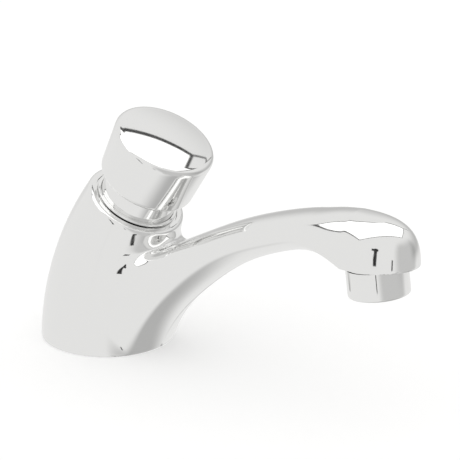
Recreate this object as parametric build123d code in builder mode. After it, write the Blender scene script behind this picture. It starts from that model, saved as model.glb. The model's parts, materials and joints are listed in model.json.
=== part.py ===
from build123d import *
import os
from math import ceil, cos, hypot, pi, radians, sin, sqrt, tan

# Push timed basin tap, in millimetres.
# The origin is the centre of the round base on the basin, +X runs along the spout, +Z is up.
# The press button and its cartridge share one axis, tilted towards the spout.

# Column
base_radius = 28.6
rim_x = 16.8
rim_z = 63.6
rim_radius = 20.9
rim_lip = 1.3
button_tilt = 28.5
column_taper_power = 1.55
column_steps = 3

# Spout, in sections that fan about a line across the foot of the bend
spout_root_reach = 50.0
belly_radius = 60.0
spout_depth = 16.6
spout_half_width = 13.0
nose_root_past_bend = 18.0
nose_length = 27.2
base_step = 0.5

# Aerator
aerator_past_nose_root = 8.9
aerator_tilt = 8.0
shell_radius = 12.4
shell_height = 11.5
shell_edge = 1.0
shell_thread_radius = 11.0
shell_ledge_radius = 10.0
shell_lip_radius = 9.3
shell_lip_height = 0.9
nipple_length = 5.0
nipple_bore_radius = 8.0

# Base and its fixings
base_wall = 4.6
base_cavity_depth = 5.0
gasket_edge = 1.6
gasket_width = 2.0
gasket_thickness = 1.6
boss_clearance = 1.5
inlet_boss_radius = 7.5
inlet_thread_radius = 4.5
inlet_thread_top = 11.5
filter_step = 0.3
inlet_passage_radius = 3.4
filter_thickness = 1.0
filter_hole_radius = 0.55
filter_hole_pitch = 1.5
stud_x = 13.0
stud_boss_radius = 6.5
stud_thread_radius = 3.4
stud_thread_top = 16.0

# Press button
button_travel = 7.0
button_height = 35.2
button_edge_height = 31.6
button_top_radius = 21.7
button_foot_radius = 20.2
button_foot_height = 12.4
shoulder_height = 8.8
neck_radius = 16.0
neck_depth = 4.0
button_wall = 1.7
button_edge_radius = 2.2
button_crown = 1.0
shoulder_directions = ((0.6, 0.8), (0.1, 1.0))
crown_directions = ((-1, 0.15), (-1, 0))
button_boss_radius = 6.5
button_boss_foot = 20.0

# Retaining ring
ring_flange_radius = 17.5
ring_flange_top = 1.3
ring_flange_height = 2.1
ring_edge = 0.6
mouth_radius = 18.1
mouth_depth = 6.0

# Cartridge, heights along its axis from the plane of the rim, negative going down
head_radius = 16.8
head_top = -12.0
head_thickness = 4.0
tower_radius = 8.5
tower_top = 0.8
spigot_radius = 10.5
spigot_length = 1.0
spanner_hole_radius = 1.2
spanner_hole_depth = 1.5
spanner_hole_circle = 14.4
bush_pocket_radius = 5.0
bush_length = 5.8
spindle_radius = 3.0
spindle_top = 29.0
spindle_collar_radius = 4.0
spindle_collar_height = 2.0
spindle_end_radius = 2.4
cylinder_radius = 14.3
cylinder_bore_radius = 10.6
cylinder_length = 16.0
cylinder_floor = 1.5
cylinder_floor_hole_radius = 4.6
piston_radius = 10.0
piston_top = -20.5
piston_thickness = 2.5
piston_hub_radius = 8.2
seal_height = 1.9
clip_radius = 5.0
clip_thickness = 0.8
pin_radius = 0.7
pin_offset = 6.6
outlet_chamber_height = 3.5
cylinder_shelf = 1.0
seat_radius = 11.0
seat_height = 3.0
seat_bore_radius = 5.0
seat_nose_width = 1.0
seat_nose_height = 0.5
inlet_chamber_radius = 9.2
washer_radius = 7.0
washer_thickness = 2.2
cup_radius = 7.8
cup_floor = 1.6
cup_grip = 1.2
valve_nut_flats = 7.0
valve_nut_height = 2.0
waterway_half_width = 8.6
waterway_half_height = 5.0
waterway_bend_radius = 20.0
waterway_drop_radius = 6.5
waterway_start_height = -30.5

# Return spring and its cup
spring_wire = 1.3
spring_mean_radius = 11.3
spring_turns = 6
spring_cup_radius = 13.4
spring_cup_thickness = 1.2
spring_cup_hub_radius = 5.2
spindle_nut_flats = 10.0
spindle_nut_height = 3.4
spring_cup_foot = 12.0
spring_cup_lip = 3.0
spring_cup_lip_width = 1.1
spring_end_gap = 0.1

# O-rings, by the radius of their cross-section
head_ring_section = 0.8
spindle_ring_section = 0.95
seat_ring_section = 0.6

# Aerator stack
aerator_washer_thickness = 1.5
aerator_washer_inner_radius = 7.4
insert_flange_height = 1.0
insert_bore_radius = 8.7
insert_height = 3.9
insert_ledge_radius = 8.2
insert_ledge_height = 0.4
regulator_height = 1.4
regulator_hole_radius = 0.6
regulator_hole_circle = 5.6
regulator_holes = 12
screen_thickness = 0.4
screen_hole = 0.8
screen_pitch = 1.3
straightener_height = 1.3
straightener_hole = 1.25
straightener_pitch = 1.6

# Fits
running_fit = 0.07
thread_gap = 0.1
seat_gap = 0.05
stop_gap = 0.6
overrun = 1.0

# Shares of the spout's sizes at each section: angle from the base about the bend's foot,
# belly radius over belly_radius, then crease, top and half width over the spout's sizes.
bend_section_shares = (
    (7.5, 1.280, 0.336, 2.03, 1.200, 31, 6.0),
    (15, 1.207, 0.398, 2.10, 1.192, 24, 6.0),
    (30, 1.088, 0.500, 1.53, 1.123, 12, 3.6),
    (45, 1.025, 0.464, 1.151, 1.046, 2, 2.5),
    (60, 1.000, 0.386, 1.000, 1.000, 0, 2.4),
    (75, 1.007, 0.361, 0.946, 0.992, 0, 2.4),
    (90, 1.037, 0.331, 1.006, 1.008, 0, 2.4),
)
crease_angle = 33.0
root_top_share = 1.9
root_flare = 28
root_power = 4.0
neck_section_share = 0.5
neck_belly_share, neck_crease_share, neck_top_share, neck_width_share = 1.032, 0.235, 1.145, 1.023
nose_belly_share, nose_crease_share, nose_top_share, nose_width_share = 1.002, 0.09, 1.343, 1.031
nose_station_shares = (0.35, 0.62, 0.82, 0.94, 0.99)
crown_power = 2.4
nose_plan_power = 2.25
nose_profile_power = 3.2
crown_angles = (0, 20, 42, 66)

# The waterway's bends: angle about the bend's foot, and height over the belly as a share of the depth
waterway_shares = ((23.5, 1.38), (45, 0.66), (75, 0.53))

# Places that follow from the sizes above
bend_x = belly_radius + spout_root_reach
fan_x = rim_x + rim_z / tan(radians(button_tilt))
nose_root_x = bend_x + nose_root_past_bend
tip_x = nose_root_x + aerator_past_nose_root
tip_slope = tan(radians(aerator_tilt))
tip_z = belly_radius * nose_belly_share + tip_slope * aerator_past_nose_root
base_cavity_radius = base_radius - base_wall
gasket_outer_radius = base_radius - gasket_edge
gasket_inner_radius = gasket_outer_radius - gasket_width
head_foot = head_top - head_thickness
cylinder_foot = head_foot - cylinder_length
chamber_foot = cylinder_foot - outlet_chamber_height
seat_foot = chamber_foot - seat_height
washer_top = seat_foot - seat_nose_height - seat_gap
washer_foot = washer_top - washer_thickness
cup_foot = washer_foot - cup_floor
spindle_foot = cup_foot - valve_nut_height - seat_gap
inlet_foot = spindle_foot - button_travel - stop_gap
spigot_foot = head_foot - spigot_length
gland_foot = tower_top - bush_length - 2 * (spindle_ring_section + seat_gap)
piston_foot = piston_top - piston_thickness
hub_top = piston_top + seal_height
cylinder_pocket_radius = cylinder_radius + thread_gap
outlet_chamber_radius = cylinder_radius - cylinder_shelf
head_pocket_radius = head_radius + thread_gap
seat_pocket_radius = seat_radius + seat_gap
spindle_bore_radius = spindle_radius + running_fit
shaft_hole_radius = spindle_radius + seat_gap
end_hole_radius = spindle_end_radius + seat_gap
nipple_radius = shell_thread_radius - thread_gap
insert_top = -nipple_length - aerator_washer_thickness
insert_foot = insert_top - insert_height
filter_radius = inlet_thread_radius - filter_step
inlet_x = rim_x + inlet_foot * sin(radians(button_tilt))
inlet_floor_z = rim_z + inlet_foot * cos(radians(button_tilt))

os.makedirs("parts", exist_ok=True)


def tilted_axis(x, z, tilt):
    """An upright axis through (x, 0, z), leaning by an angle towards the spout's tip."""
    return Axis((x, 0, z), (sin(radians(tilt)), 0, cos(radians(tilt))))


def profile_plane(axis):
    """The plane of symmetry seen along an axis: x is the radius and y the height."""
    across = axis.direction.cross(Vector(0, -1, 0))
    return Plane(origin=axis.position, x_dir=across, z_dir=(0, -1, 0))


def cross_plane(axis, height):
    """The plane square to an axis, at a height along it."""
    across = axis.direction.cross(Vector(0, -1, 0))
    return Plane(origin=axis.position + axis.direction * height, x_dir=across, z_dir=axis.direction)


cartridge_axis = tilted_axis(rim_x, rim_z, button_tilt)
aerator_axis = tilted_axis(tip_x, tip_z, -aerator_tilt)


def column_plane(share):
    """A plane across the column, from its base at 0 to its rim at 1."""
    lean = radians(button_tilt * share)
    reach = fan_x + (hypot(fan_x - rim_x, rim_z) - fan_x) * share
    centre = (fan_x - reach * cos(lean), 0, reach * sin(lean))
    return Plane(origin=centre, x_dir=(cos(lean), 0, -sin(lean)), z_dir=(sin(lean), 0, cos(lean)))


def bend_plane(angle, past=0):
    """A plane across the spout: x points away from the foot of the bend, y across the tap."""
    turn = radians(angle)
    direction = (-cos(turn), 0, sin(turn))
    return Plane(origin=(bend_x + past, 0, 0), x_dir=direction, z_dir=(-sin(turn), 0, -cos(turn)))


def crown_points(crease, top, half_width, flare, power):
    """Half of a rounded crown, from the crease up to the middle of the top."""
    points = []
    for angle in crown_angles:
        height = (top - crease) * sin(radians(angle)) ** (2 / power)
        out = (half_width + height * tan(radians(flare))) * cos(radians(angle)) ** (2 / power)
        points.append((crease + height, out))
    return points + [(top, 0)]


def spout_section(plane, belly, crease, top, half_width, flare=0, power=crown_power):
    """One closed section: a belly arc below the two creases and a crown above them."""
    half = crown_points(crease, top, half_width, flare, power)
    other = [(x, -y) for x, y in reversed(half[:-1])]
    outward = tan(radians(flare))
    with BuildSketch(plane) as section:
        with BuildLine():
            ThreePointArc((crease, -half_width), (belly, 0), (crease, half_width))
            Spline(*half, *other, tangents=((1, outward), (-1, outward)))
        make_face()
    return section.sketch


def spout_sections():
    """Every section of the spout, from the foot of the column to the end of the nose."""
    wide = base_radius * sin(radians(crease_angle)) - base_step
    crease_x = base_radius * cos(radians(crease_angle)) - base_step
    belly = bend_x - base_radius + base_step
    top = belly + spout_depth * root_top_share
    yield spout_section(bend_plane(0), belly, bend_x - crease_x, top, wide, root_flare, root_power)
    for angle, belly_share, crease_share, top_share, width_share, flare, power in bend_section_shares:
        belly = belly_radius * belly_share
        crease = belly + spout_depth * crease_share
        top = belly + spout_depth * top_share
        wide = spout_half_width * width_share
        yield spout_section(bend_plane(angle), belly, crease, top, wide, flare, power)
    belly = belly_radius * neck_belly_share
    crease = belly + spout_depth * neck_crease_share
    top = belly + spout_depth * neck_top_share
    neck_plane = bend_plane(90, nose_root_past_bend * neck_section_share)
    yield spout_section(neck_plane, belly, crease, top, spout_half_width * neck_width_share)
    belly = belly_radius * nose_belly_share
    crease = belly + spout_depth * nose_crease_share
    full_top = spout_depth * (nose_top_share - nose_crease_share)
    full_width = spout_half_width * nose_width_share
    yield spout_section(bend_plane(90, nose_root_past_bend), belly, crease, crease + full_top, full_width)
    for share in nose_station_shares:
        width = full_width * (1 - share**nose_plan_power) ** (1 / nose_plan_power)
        top = crease + full_top * (1 - share**nose_profile_power) ** (1 / nose_profile_power)
        past = nose_root_past_bend + nose_length * share
        low = crease - (crease - belly) * width / full_width
        yield spout_section(bend_plane(90, past), low, crease, top, width)


def turn(axis, points, mode=Mode.ADD):
    """Turns a closed outline of (radius, height) points about an axis."""
    with BuildSketch(profile_plane(axis)) as outline:
        with BuildLine():
            Polyline(*points, close=True)
        make_face()
    revolve(outline.sketch, axis=axis, mode=mode)


def turn_ring(axis, inner, outer, foot, top, mode=Mode.ADD):
    """Turns a plain ring about an axis, or a disc where the inner radius is 0."""
    turn(axis, [(inner, foot), (outer, foot), (outer, top), (inner, top)], mode)


def turn_o_ring(axis, mean, section, height):
    """Turns a round seal of a given mean radius about an axis."""
    with BuildSketch(profile_plane(axis)) as outline:
        with Locations((mean, height)):
            Circle(section)
    revolve(outline.sketch, axis=axis)


def hex_nut(flats, bore, foot, height):
    """A six-sided nut on the cartridge's axis."""
    with BuildSketch(cross_plane(cartridge_axis, foot)) as outline:
        RegularPolygon(flats / 2, 6, major_radius=False)
        Circle(bore, mode=Mode.SUBTRACT)
    extrude(outline.sketch, amount=height)


def grid_in_circle(pitch, reach):
    """The points of a square grid that lie inside a circle."""
    count = ceil(reach / pitch)
    steps = [pitch * step for step in range(-count, count + 1)]
    return [(x, y) for x in steps for y in steps if hypot(x, y) < reach]


# Tap body: one brass casting, machined for the cartridge, the inlet and the aerator
with BuildPart() as tap_body:
    for section in spout_sections():
        add(section)
    loft()
    with BuildSketch(cross_plane(aerator_axis, 0)):
        with Locations((nose_length / 2, 0)):
            Rectangle(2 * nose_length, 2 * base_radius)
    extrude(amount=-spout_depth, mode=Mode.SUBTRACT)
    for step in range(column_steps + 1):
        share = step / column_steps
        with BuildSketch(column_plane(share)):
            Circle(base_radius + (rim_radius - base_radius) * share**column_taper_power)
    loft()
    fillet(tap_body.edges().sort_by(cartridge_axis)[-1], rim_lip)
    turn_ring(aerator_axis, 0, shell_radius, 0, nipple_length)
    turn_ring(aerator_axis, 0, nipple_radius, -nipple_length, nipple_length)

    turn(
        cartridge_axis,
        [
            (0, overrun),
            (mouth_radius, overrun),
            (mouth_radius, -mouth_depth),
            (head_pocket_radius, -mouth_depth),
            (head_pocket_radius, head_foot),
            (cylinder_pocket_radius, head_foot),
            (cylinder_pocket_radius, cylinder_foot),
            (outlet_chamber_radius, cylinder_foot),
            (outlet_chamber_radius, chamber_foot),
            (seat_pocket_radius, chamber_foot),
            (seat_pocket_radius, seat_foot),
            (inlet_chamber_radius, seat_foot),
            (inlet_chamber_radius, inlet_foot),
            (0, inlet_foot),
        ],
        Mode.SUBTRACT,
    )

    with BuildSketch():
        Circle(base_cavity_radius)
    extrude(amount=boss_clearance, mode=Mode.SUBTRACT)
    with BuildSketch(Plane.XY.offset(boss_clearance)):
        Circle(base_cavity_radius)
        with Locations((inlet_x, 0)):
            Circle(inlet_boss_radius, mode=Mode.SUBTRACT)
        with Locations((stud_x, 0)):
            Circle(stud_boss_radius, mode=Mode.SUBTRACT)
    extrude(amount=base_cavity_depth - boss_clearance, mode=Mode.SUBTRACT)
    with BuildSketch():
        Circle(gasket_outer_radius + seat_gap)
        Circle(gasket_inner_radius - seat_gap, mode=Mode.SUBTRACT)
    extrude(amount=gasket_thickness, mode=Mode.SUBTRACT)
    with BuildSketch():
        with Locations((inlet_x, 0)):
            Circle(inlet_thread_radius)
    extrude(amount=inlet_thread_top, mode=Mode.SUBTRACT)
    with BuildSketch(Plane.XY.offset(inlet_thread_top)):
        with Locations((inlet_x, 0)):
            Circle(filter_radius + seat_gap)
    extrude(amount=filter_thickness, mode=Mode.SUBTRACT)
    with BuildSketch(Plane.XY.offset(inlet_thread_top)):
        with Locations((inlet_x, 0)):
            Circle(inlet_passage_radius)
    passage_top = inlet_floor_z + inlet_passage_radius * tan(radians(button_tilt)) + overrun
    extrude(amount=passage_top - inlet_thread_top, mode=Mode.SUBTRACT)
    with BuildSketch():
        with Locations((stud_x, 0)):
            Circle(stud_thread_radius)
    extrude(amount=stud_thread_top, mode=Mode.SUBTRACT)

    water_start = cross_plane(cartridge_axis, waterway_start_height).from_local_coords(
        Vector(cylinder_bore_radius + overrun, 0, 0)
    )
    water_points = [water_start]
    for angle, share in waterway_shares:
        reach = belly_radius + spout_depth * share
        water_points.append(Vector(bend_x - reach * cos(radians(angle)), 0, reach * sin(radians(angle))))
    water_points.append(cross_plane(aerator_axis, 2 * waterway_drop_radius).origin)
    water_points.append(cross_plane(aerator_axis, 0).origin)
    bend_radii = [waterway_bend_radius] * len(waterway_shares) + [waterway_drop_radius]
    with BuildLine():
        water_path = FilletPolyline(*water_points, radius=bend_radii)
    with BuildSketch(Plane(origin=water_path @ 0, x_dir=(0, 1, 0), z_dir=water_path % 0)):
        Ellipse(waterway_half_width, waterway_half_height)
    sweep(path=water_path, mode=Mode.SUBTRACT)
    nipple_bore_top = nipple_length + overrun
    turn_ring(aerator_axis, 0, nipple_bore_radius, -nipple_length, nipple_bore_top, Mode.SUBTRACT)

tap_body.part.label = "tap_body"
export_step(tap_body.part, "parts/tap_body.step")


# Retaining ring: turned brass, screwed into the rim, and the neck of the button slides in it
with BuildPart() as retaining_ring:
    bore = neck_radius + running_fit
    flange_foot = ring_flange_top - ring_flange_height
    turn(
        cartridge_axis,
        [
            (bore, -mouth_depth),
            (mouth_radius - thread_gap, -mouth_depth),
            (mouth_radius - thread_gap, flange_foot),
            (ring_flange_radius, flange_foot),
            (ring_flange_radius, ring_flange_top - ring_edge),
            (ring_flange_radius - ring_edge, ring_flange_top),
            (bore, ring_flange_top),
        ],
    )
retaining_ring.part.label = "retaining_ring"
export_step(retaining_ring.part, "parts/retaining_ring.step")


# Cartridge head: the brass plug that closes the chambers and carries the spindle's bush
with BuildPart() as cartridge_head:
    turn(
        cartridge_axis,
        [
            (spindle_bore_radius, spigot_foot),
            (spigot_radius, spigot_foot),
            (spigot_radius, head_foot),
            (head_radius, head_foot),
            (head_radius, head_top),
            (tower_radius, head_top),
            (tower_radius, tower_top),
            (bush_pocket_radius, tower_top),
            (bush_pocket_radius, gland_foot),
            (spindle_bore_radius, gland_foot),
        ],
    )
    head_ring_mean = (cylinder_pocket_radius + head_radius) / 2
    turn_ring(
        cartridge_axis,
        head_ring_mean - head_ring_section - seat_gap,
        head_ring_mean + head_ring_section + seat_gap,
        head_foot,
        head_foot + 2 * head_ring_section + seat_gap,
        Mode.SUBTRACT,
    )
    with BuildSketch(cross_plane(cartridge_axis, head_top)):
        with PolarLocations(spanner_hole_circle, 2, start_angle=90):
            Circle(spanner_hole_radius)
    extrude(amount=-spanner_hole_depth, mode=Mode.SUBTRACT)
    with BuildSketch(cross_plane(cartridge_axis, spigot_foot)):
        with Locations((-pin_offset, 0)):
            Circle(pin_radius + seat_gap)
    extrude(amount=spigot_length + head_thickness / 2, mode=Mode.SUBTRACT)
cartridge_head.part.label = "cartridge_head"
export_step(cartridge_head.part, "parts/cartridge_head.step")


# Head O-ring: seals the head's flange on its shelf in the body
with BuildPart() as head_o_ring:
    ring_height = head_foot + head_ring_section + seat_gap / 2
    turn_o_ring(cartridge_axis, head_ring_mean, head_ring_section, ring_height)
head_o_ring.part.label = "head_o_ring"
export_step(head_o_ring.part, "parts/head_o_ring.step")


# Guide bush: the plastic sleeve in the top of the head
with BuildPart() as guide_bush:
    bush_radius = bush_pocket_radius - seat_gap
    turn_ring(cartridge_axis, spindle_bore_radius, bush_radius, tower_top - bush_length, tower_top)
guide_bush.part.label = "guide_bush"
export_step(guide_bush.part, "parts/guide_bush.step")


# Spindle O-ring: the seal in its gland under the bush
with BuildPart() as spindle_o_ring:
    ring_height = gland_foot + spindle_ring_section + seat_gap
    ring_mean = (spindle_radius + bush_pocket_radius) / 2
    turn_o_ring(cartridge_axis, ring_mean, spindle_ring_section, ring_height)
spindle_o_ring.part.label = "spindle_o_ring"
export_step(spindle_o_ring.part, "parts/spindle_o_ring.step")


# Timing cylinder: the dashpot's cup, held between its shelf in the body and the head
with BuildPart() as timing_cylinder:
    turn(
        cartridge_axis,
        [
            (cylinder_floor_hole_radius, cylinder_foot),
            (cylinder_radius, cylinder_foot),
            (cylinder_radius, head_foot),
            (cylinder_bore_radius, head_foot),
            (cylinder_bore_radius, cylinder_foot + cylinder_floor),
            (cylinder_floor_hole_radius, cylinder_foot + cylinder_floor),
        ],
    )
timing_cylinder.part.label = "timing_cylinder"
export_step(timing_cylinder.part, "parts/timing_cylinder.step")


# Metering pin: the steel needle that runs through the piston's bleed hole
with BuildPart() as metering_pin:
    pin_foot = cylinder_foot + cylinder_floor + thread_gap
    pin_top = head_foot + head_thickness / 2 - seat_gap
    with BuildSketch(cross_plane(cartridge_axis, pin_foot)):
        with Locations((-pin_offset, 0)):
            Circle(pin_radius)
    extrude(amount=pin_top - pin_foot)
metering_pin.part.label = "metering_pin"
export_step(metering_pin.part, "parts/metering_pin.step")


# Valve seat: the screwed-in ring whose nose the rubber washer closes on from below
with BuildPart() as valve_seat:
    seat_nose_radius = seat_bore_radius + seat_nose_width
    turn(
        cartridge_axis,
        [
            (seat_bore_radius, seat_foot - seat_nose_height),
            (seat_nose_radius, seat_foot - seat_nose_height),
            (seat_nose_radius, seat_foot),
            (seat_radius, seat_foot),
            (seat_radius, chamber_foot),
            (seat_bore_radius, chamber_foot),
        ],
    )
    groove_floor = seat_pocket_radius - 2 * (seat_ring_section + seat_gap)
    groove_half = seat_ring_section + seat_gap
    seat_middle = (seat_foot + chamber_foot) / 2
    turn_ring(
        cartridge_axis,
        groove_floor,
        seat_radius + overrun,
        seat_middle - groove_half,
        seat_middle + groove_half,
        Mode.SUBTRACT,
    )
valve_seat.part.label = "valve_seat"
export_step(valve_seat.part, "parts/valve_seat.step")


# Seat O-ring: seals the seat in the body
with BuildPart() as seat_o_ring:
    turn_o_ring(cartridge_axis, groove_floor + groove_half, seat_ring_section, seat_middle)
seat_o_ring.part.label = "seat_o_ring"
export_step(seat_o_ring.part, "parts/seat_o_ring.step")


# Inlet filter: the pierced disc at the top of the inlet thread
with BuildPart() as inlet_filter:
    with BuildSketch(Plane.XY.offset(inlet_thread_top)):
        with Locations((inlet_x, 0)):
            Circle(filter_radius)
            with Locations(*grid_in_circle(filter_hole_pitch, inlet_passage_radius - filter_hole_radius)):
                Circle(filter_hole_radius, mode=Mode.SUBTRACT)
    extrude(amount=filter_thickness)
inlet_filter.part.label = "inlet_filter"
export_step(inlet_filter.part, "parts/inlet_filter.step")


# Base gasket: the rubber ring let into the foot of the body
with BuildPart() as base_gasket:
    with BuildSketch():
        Circle(gasket_outer_radius)
        Circle(gasket_inner_radius, mode=Mode.SUBTRACT)
    extrude(amount=gasket_thickness)
base_gasket.part.label = "base_gasket"
export_step(base_gasket.part, "parts/base_gasket.step")


# Aerator shell: the turned sleeve screwed onto the nipple under the tip
with BuildPart() as aerator_shell:
    turn(
        aerator_axis,
        [
            (shell_lip_radius, -shell_height),
            (shell_radius, -shell_height),
            (shell_radius, 0),
            (shell_thread_radius, 0),
            (shell_thread_radius, insert_top - insert_flange_height),
            (shell_ledge_radius, insert_top - insert_flange_height),
            (shell_ledge_radius, shell_lip_height - shell_height),
            (shell_lip_radius, shell_lip_height - shell_height),
        ],
    )
    foot_edges = aerator_shell.edges().filter_by(GeomType.CIRCLE).group_by(SortBy.RADIUS)[-1]
    fillet(foot_edges.sort_by(aerator_axis)[0], shell_edge)
aerator_shell.part.label = "aerator_shell"
export_step(aerator_shell.part, "parts/aerator_shell.step")


# Aerator washer: flat rubber seal between the nipple and the insert
with BuildPart() as aerator_washer:
    washer_outer = nipple_radius - thread_gap
    turn_ring(aerator_axis, aerator_washer_inner_radius, washer_outer, insert_top, -nipple_length)
aerator_washer.part.label = "aerator_washer"
export_step(aerator_washer.part, "parts/aerator_washer.step")


# Aerator insert: the plastic cup that holds the regulator, the screen and the straightener
with BuildPart() as aerator_insert:
    insert_radius = shell_ledge_radius - thread_gap
    turn(
        aerator_axis,
        [
            (insert_ledge_radius, insert_foot),
            (insert_radius, insert_foot),
            (insert_radius, insert_top - insert_flange_height),
            (nipple_radius - thread_gap, insert_top - insert_flange_height),
            (nipple_radius - thread_gap, insert_top),
            (insert_bore_radius, insert_top),
            (insert_bore_radius, insert_foot + insert_ledge_height),
            (insert_ledge_radius, insert_foot + insert_ledge_height),
        ],
    )
aerator_insert.part.label = "aerator_insert"
export_step(aerator_insert.part, "parts/aerator_insert.step")


# Flow regulator: a disc with a ring of metering holes
with BuildPart() as flow_regulator:
    with BuildSketch(cross_plane(aerator_axis, insert_top - regulator_height)):
        Circle(insert_bore_radius - seat_gap)
        with PolarLocations(regulator_hole_circle, regulator_holes):
            Circle(regulator_hole_radius, mode=Mode.SUBTRACT)
    extrude(amount=regulator_height)
flow_regulator.part.label = "flow_regulator"
export_step(flow_regulator.part, "parts/flow_regulator.step")


# Flow straightener: the grid that shows in the aerator's mouth
with BuildPart() as flow_straightener:
    with BuildSketch(cross_plane(aerator_axis, insert_foot + insert_ledge_height)):
        Circle(insert_bore_radius - seat_gap)
        with Locations(*grid_in_circle(straightener_pitch, insert_ledge_radius - straightener_hole / 2)):
            Rectangle(straightener_hole, straightener_hole, mode=Mode.SUBTRACT)
    extrude(amount=straightener_height)
flow_straightener.part.label = "flow_straightener"
export_step(flow_straightener.part, "parts/flow_straightener.step")


# Aerator screen: the pierced steel disc that lies on the straightener
with BuildPart() as aerator_screen:
    screen_foot = insert_foot + insert_ledge_height + straightener_height
    with BuildSketch(cross_plane(aerator_axis, screen_foot)):
        Circle(insert_bore_radius - seat_gap)
        with Locations(*grid_in_circle(screen_pitch, insert_ledge_radius - screen_hole)):
            Rectangle(screen_hole, screen_hole, mode=Mode.SUBTRACT)
    extrude(amount=screen_thickness)
aerator_screen.part.label = "aerator_screen"
export_step(aerator_screen.part, "parts/aerator_screen.step")


# Push button: a hollow chromed cap with a narrower neck and a boss for the spindle
with BuildPart() as push_button:
    with BuildSketch(profile_plane(cartridge_axis)) as outline:
        with BuildLine():
            inner_neck = neck_radius - button_wall
            ceiling = button_height - button_wall
            bore_top = spindle_top + seat_gap
            edge_top = button_edge_height + button_edge_radius
            edge_x = button_top_radius - button_edge_radius
            corner = button_edge_radius * (1 - cos(radians(45)))
            inner_foot = button_foot_radius - button_wall
            Polyline((0, bore_top), (shaft_hole_radius, bore_top), (shaft_hole_radius, button_boss_foot),
                     (button_boss_radius, button_boss_foot), (button_boss_radius, ceiling - button_crown))
            Line((button_boss_radius, ceiling - button_crown), (edge_x, ceiling - button_crown))
            Line((edge_x, ceiling - button_crown), (inner_foot, button_foot_height + button_wall))
            Line((inner_foot, button_foot_height + button_wall), (inner_neck, shoulder_height + button_wall))
            Line((inner_neck, shoulder_height + button_wall), (inner_neck, -neck_depth))
            Line((inner_neck, -neck_depth), (neck_radius, -neck_depth))
            Line((neck_radius, -neck_depth), (neck_radius, shoulder_height))
            Spline((neck_radius, shoulder_height), (button_foot_radius, button_foot_height),
                   tangents=shoulder_directions)
            Line((button_foot_radius, button_foot_height), (button_top_radius, button_edge_height))
            ThreePointArc((button_top_radius, button_edge_height),
                          (button_top_radius - corner, edge_top - corner), (edge_x, edge_top))
            Spline((edge_x, edge_top), (0, button_height), tangents=crown_directions)
            Line((0, button_height), (0, bore_top))
        make_face()
    revolve(axis=cartridge_axis)
push_button.part.label = "push_button"
export_step(push_button.part, "parts/push_button.step")


# Spring cup: the plate under the button's boss that the return spring pushes on
with BuildPart() as spring_cup:
    cup_top = spring_cup_foot + spring_cup_thickness
    lip_foot = spring_cup_foot - spring_cup_lip
    turn(
        cartridge_axis,
        [
            (shaft_hole_radius, spring_cup_foot),
            (spring_cup_radius - spring_cup_lip_width, spring_cup_foot),
            (spring_cup_radius - spring_cup_lip_width, lip_foot),
            (spring_cup_radius, lip_foot),
            (spring_cup_radius, cup_top),
            (spring_cup_hub_radius, cup_top),
            (spring_cup_hub_radius, button_boss_foot),
            (shaft_hole_radius, button_boss_foot),
        ],
    )
spring_cup.part.label = "spring_cup"
export_step(spring_cup.part, "parts/spring_cup.step")


# Spindle nut: locks the spring cup on the spindle
with BuildPart() as spindle_nut:
    hex_nut(spindle_nut_flats, shaft_hole_radius, spring_cup_foot - spindle_nut_height, spindle_nut_height)
spindle_nut.part.label = "spindle_nut"
export_step(spindle_nut.part, "parts/spindle_nut.step")


# Spindle: the stainless rod from the button down to the valve washer
with BuildPart() as spindle:
    collar_foot = piston_foot - spindle_collar_height
    turn(
        cartridge_axis,
        [
            (0, spindle_foot),
            (spindle_end_radius, spindle_foot),
            (spindle_end_radius, washer_top),
            (spindle_radius, washer_top),
            (spindle_radius, collar_foot),
            (spindle_collar_radius, collar_foot),
            (spindle_collar_radius, piston_foot),
            (spindle_radius, piston_foot),
            (spindle_radius, spindle_top),
            (0, spindle_top),
        ],
    )
spindle.part.label = "spindle"
export_step(spindle.part, "parts/spindle.step")


# Piston: the dashpot's disc, with its hub and the bleed hole for the metering pin
with BuildPart() as piston:
    turn(
        cartridge_axis,
        [
            (shaft_hole_radius, piston_foot),
            (piston_radius, piston_foot),
            (piston_radius, piston_top),
            (piston_hub_radius, piston_top),
            (piston_hub_radius, hub_top),
            (shaft_hole_radius, hub_top),
        ],
    )
    with BuildSketch(cross_plane(cartridge_axis, piston_foot)):
        with Locations((-pin_offset, 0)):
            Circle(pin_radius + running_fit)
    extrude(amount=hub_top - piston_foot, mode=Mode.SUBTRACT)
piston.part.label = "piston"
export_step(piston.part, "parts/piston.step")


# Piston clip: the ring that keeps the piston on the spindle's collar
with BuildPart() as piston_clip:
    turn_ring(cartridge_axis, shaft_hole_radius, clip_radius, hub_top, hub_top + clip_thickness)
piston_clip.part.label = "piston_clip"
export_step(piston_clip.part, "parts/piston_clip.step")


# Lip seal: the rubber ring round the piston's hub that rubs in the cylinder
with BuildPart() as lip_seal:
    seal_radius = cylinder_bore_radius - running_fit
    turn_ring(cartridge_axis, piston_hub_radius + seat_gap, seal_radius, piston_top, hub_top)
lip_seal.part.label = "lip_seal"
export_step(lip_seal.part, "parts/lip_seal.step")


# Valve washer: the rubber disc that closes the seat
with BuildPart() as valve_washer:
    turn_ring(cartridge_axis, end_hole_radius, washer_radius, washer_foot, washer_top)
valve_washer.part.label = "valve_washer"
export_step(valve_washer.part, "parts/valve_washer.step")


# Washer cup: the brass dish that holds the washer's edge
with BuildPart() as washer_cup:
    turn(
        cartridge_axis,
        [
            (end_hole_radius, cup_foot),
            (cup_radius, cup_foot),
            (cup_radius, washer_foot + cup_grip),
            (washer_radius + seat_gap, washer_foot + cup_grip),
            (washer_radius + seat_gap, washer_foot),
            (end_hole_radius, washer_foot),
        ],
    )
washer_cup.part.label = "washer_cup"
export_step(washer_cup.part, "parts/washer_cup.step")


# Valve nut: holds the cup and the washer on the spindle's end
with BuildPart() as valve_nut:
    hex_nut(valve_nut_flats, end_hole_radius, cup_foot - valve_nut_height, valve_nut_height)
valve_nut.part.label = "valve_nut"
export_step(valve_nut.part, "parts/valve_nut.step")


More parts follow.
